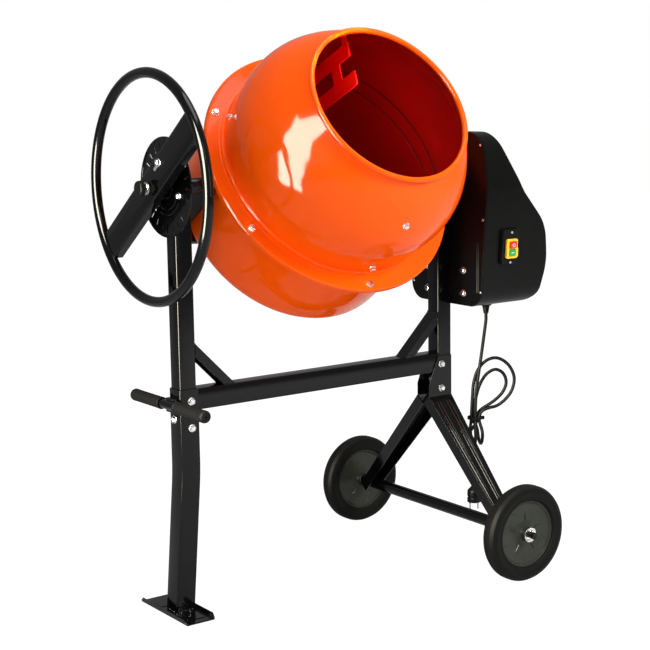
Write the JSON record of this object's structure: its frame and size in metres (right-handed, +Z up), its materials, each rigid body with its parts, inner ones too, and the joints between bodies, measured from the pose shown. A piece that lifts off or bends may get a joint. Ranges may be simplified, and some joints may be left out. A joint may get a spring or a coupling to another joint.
{
  "type": "concrete mixer",
  "caption": "Electric tilting-drum concrete mixer: flanged drum in a tilting yoke, side handwheel with index plate, motor housing, and a folded-steel stand on road wheels.",
  "frame": {"origin": "on the floor, under the centre of the box round the mixer without its cord, plug and cord tie", "axes": "+Z up; +X along the tilt axis towards the motor housing; -Y towards the drum mouth; +Y towards the drum bottom"},
  "size_m": [1.0246, 0.6998, 1.2394],
  "materials": {
    "frame_paint": "gloss black paint",
    "housing_paint": "satin black paint",
    "drum_paint": "gloss orange paint",
    "rubber": "matt black",
    "tyre": "matt black",
    "dish_metal": "dark grey-olive semi-gloss",
    "zinc_steel": "zinc plated",
    "cast_iron": "as cast",
    "black_plastic": "fine matt",
    "switch_yellow": "gloss",
    "stop_red": "gloss",
    "start_green": "gloss"
  },
  "bodies": {
    "frame": {"left_post": "frame_paint", "right_post": "frame_paint", "crossbeam": "frame_paint", "lower_leg": "frame_paint", "handle_bar": "frame_paint", "handle_grip_front": "rubber", "handle_grip_rear": "rubber", "leg_bolt_upper": "zinc_steel", "leg_bolt_lower": "zinc_steel", "strut_front": "frame_paint", "strut_rear": "frame_paint", "strut_bolt_upper": "zinc_steel", "strut_bolt_lower": "zinc_steel", "axle": "frame_paint", "axle_tube": "frame_paint", "left_bush": "black_plastic", "right_bush": "black_plastic", "index_plate": "frame_paint", "housing_back": "housing_paint", "housing_cover": "housing_paint", "motor_bracket": "cast_iron", "motor": "cast_iron", "belt": "rubber", "switch_box": "black_plastic", "switch_cover": "switch_yellow", "cable_gland": "black_plastic", "cord": "black_plastic", "cord_tie": "black_plastic", "plug": "black_plastic"},
    "motor_rotor": {"motor_pulley": "zinc_steel"},
    "wheel_front": {"tyre_front": "tyre", "wheel_dish_front": "dish_metal"},
    "wheel_rear": {"tyre_rear": "tyre", "wheel_dish_rear": "dish_metal"},
    "start_button": {"start_button": "start_green"},
    "stop_button": {"stop_button": "stop_red"},
    "yoke": {"yoke": "frame_paint", "pivot_shaft_left": "frame_paint", "pivot_tube_right": "frame_paint"},
    "handwheel": {"handwheel_ring": "frame_paint", "handwheel_spoke": "frame_paint", "lock_knob": "black_plastic", "lock_spring": "zinc_steel"},
    "drum": {"drum_lower": "drum_paint", "drum_upper": "drum_paint", "drum_seal": "rubber", "ring_gear": "drum_paint", "mixing_blade_1": "drum_paint", "mixing_blade_2": "drum_paint", "drum_hub": "cast_iron", "flange_bolt_1": "zinc_steel", "flange_bolt_2": "zinc_steel", "flange_bolt_3": "zinc_steel", "flange_bolt_4": "zinc_steel", "flange_bolt_5": "zinc_steel", "flange_bolt_6": "zinc_steel"},
    "drive": {"drive_shaft": "zinc_steel", "pinion": "cast_iron", "drive_pulley": "black_plastic"}
  },
  "joints": [
    {"name": "drum_tilt", "type": "hinge", "parent": "frame", "child": "yoke", "pos_m": [-0.04484, 0.00388, 0.916], "axis": [1, 0, 0], "range_deg": [-120, 74]},
    {"name": "drum_spin", "type": "hinge", "parent": "yoke", "child": "drum", "pos_m": [-0.04484, 0.00388, 0.916], "axis": [0, -0.831, 0.5563], "continuous": true},
    {"name": "pinion_spin", "type": "hinge", "parent": "yoke", "child": "drive", "pos_m": [-0.04484, 0.00388, 0.916], "axis": [1, 0, 0], "continuous": true},
    {"name": "motor_spin", "type": "hinge", "parent": "frame", "child": "motor_rotor", "pos_m": [0.33516, 0.00388, 0.704], "axis": [1, 0, 0], "continuous": true},
    {"name": "handwheel_pull", "type": "slide", "parent": "yoke", "child": "handwheel", "axis": [-1, 0, 0], "range_m": [0, 0.008], "stiffness_N_per_m": 3000},
    {"name": "wheel_front_spin", "type": "hinge", "parent": "frame", "child": "wheel_front", "pos_m": [0.27946, -0.30412, 0.1105], "axis": [0, 1, 0], "continuous": true},
    {"name": "wheel_rear_spin", "type": "hinge", "parent": "frame", "child": "wheel_rear", "pos_m": [0.27946, 0.31188, 0.1105], "axis": [0, 1, 0], "continuous": true},
    {"name": "start_press", "type": "slide", "parent": "frame", "child": "start_button", "axis": [0, 0.997, 0.0779], "range_m": [0, 0.003], "stiffness_N_per_m": 300},
    {"name": "stop_press", "type": "slide", "parent": "frame", "child": "stop_button", "axis": [0, 0.997, 0.0779], "range_m": [0, 0.003], "stiffness_N_per_m": 300}
  ],
  "couplings": [
    {"joint": "pinion_spin", "follows": "drum_spin", "ratio": -14},
    {"joint": "motor_spin", "follows": "drum_spin", "ratio": -54.861}
  ]
}
